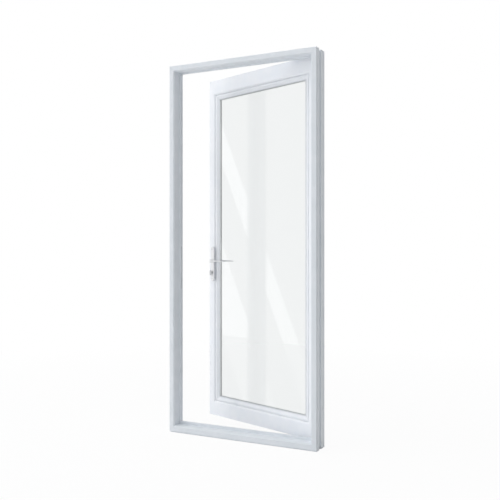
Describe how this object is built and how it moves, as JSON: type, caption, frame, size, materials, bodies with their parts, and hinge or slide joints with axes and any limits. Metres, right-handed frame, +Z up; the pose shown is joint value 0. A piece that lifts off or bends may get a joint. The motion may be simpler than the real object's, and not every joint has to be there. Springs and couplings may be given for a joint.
{
  "type": "hinged glazed door in its frame",
  "caption": "Tall white plastic door with one full-height glass panel, hinged in its own white frame, part open, with slim lever handles and a small turn below.",
  "frame": {"origin": "middle of the underside of the sill's front foot", "axes": "+Z up, +X to the right along the wall towards the hinges, +Y from the room side to the far side, the way the leaf opens"},
  "size_m": [0.902, 0.4198, 2.09],
  "materials": {
    "white_plastic_frame": "smooth white plastic, low sheen",
    "white_plastic_leaf": "smooth white plastic, low sheen",
    "white_plastic_bead": "smooth white plastic, low sheen",
    "grey_rubber_seal": "soft grey rubber",
    "white_spacer_bar": "matte white",
    "clear_glass": "polished clear glass",
    "white_coated_hinge": "white powder coat",
    "steel_hinge_pin": "ground steel",
    "satin_steel_lock": "satin steel",
    "nickel_cylinder": "satin nickel plate",
    "satin_grey_handle": "satin",
    "satin_grey_turn": "satin",
    "steel_spindle": "plain steel"
  },
  "bodies": {
    "frame": {"frame_head": "white_plastic_frame", "frame_sill": "white_plastic_frame", "frame_jamb_latch": "white_plastic_frame", "frame_jamb_hinge": "white_plastic_frame", "seal_head": "grey_rubber_seal", "seal_sill": "grey_rubber_seal", "seal_jamb_latch": "grey_rubber_seal", "seal_jamb_hinge": "grey_rubber_seal", "strike_plate": "satin_steel_lock", "hinge_frame_half_low": "white_coated_hinge", "hinge_pin_low": "steel_hinge_pin", "hinge_frame_half_middle": "white_coated_hinge", "hinge_pin_middle": "steel_hinge_pin", "hinge_frame_half_high": "white_coated_hinge", "hinge_pin_high": "steel_hinge_pin"},
    "leaf": {"leaf_rail_top": "white_plastic_leaf", "leaf_rail_bottom": "white_plastic_leaf", "leaf_stile_latch": "white_plastic_leaf", "leaf_stile_hinge": "white_plastic_leaf", "bead_top": "white_plastic_bead", "bead_bottom": "white_plastic_bead", "bead_left": "white_plastic_bead", "bead_right": "white_plastic_bead", "spacer_top": "white_spacer_bar", "spacer_bottom": "white_spacer_bar", "spacer_left": "white_spacer_bar", "spacer_right": "white_spacer_bar", "pane_room_side": "clear_glass", "pane_far_side": "clear_glass", "hinge_leaf_half_low": "white_coated_hinge", "hinge_leaf_half_middle": "white_coated_hinge", "hinge_leaf_half_high": "white_coated_hinge", "lock_faceplate": "satin_steel_lock", "latch_bolt": "satin_steel_lock", "deadbolt": "satin_steel_lock", "lock_cylinder": "nickel_cylinder", "handle_plate_room_side": "satin_grey_handle", "handle_plate_far_side": "satin_grey_handle"},
    "lever_set": {"lever_room_side": "satin_grey_handle", "lever_far_side": "satin_grey_handle", "lever_spindle": "steel_spindle"},
    "turn": {"thumbturn": "satin_grey_turn"}
  },
  "joints": [
    {"name": "door_swing", "type": "hinge", "parent": "frame", "child": "leaf", "pos_m": [0.4325, 0.099, 1.0485], "axis": [0, 0, -1], "range_deg": [-19.5, 80.5]},
    {"name": "lever_turn", "type": "hinge", "parent": "leaf", "child": "lever_set", "pos_m": [-0.3664, 0.31295, 0.973], "axis": [0.3338, 0.9426, 0], "range_deg": [0, 45], "stiffness_Nm_per_rad": 1.2, "springref_deg": -28.65},
    {"name": "thumbturn_turn", "type": "hinge", "parent": "leaf", "child": "turn", "pos_m": [-0.3664, 0.31295, 0.903], "axis": [0.3338, 0.9426, 0], "range_deg": [0, 90]}
  ]
}
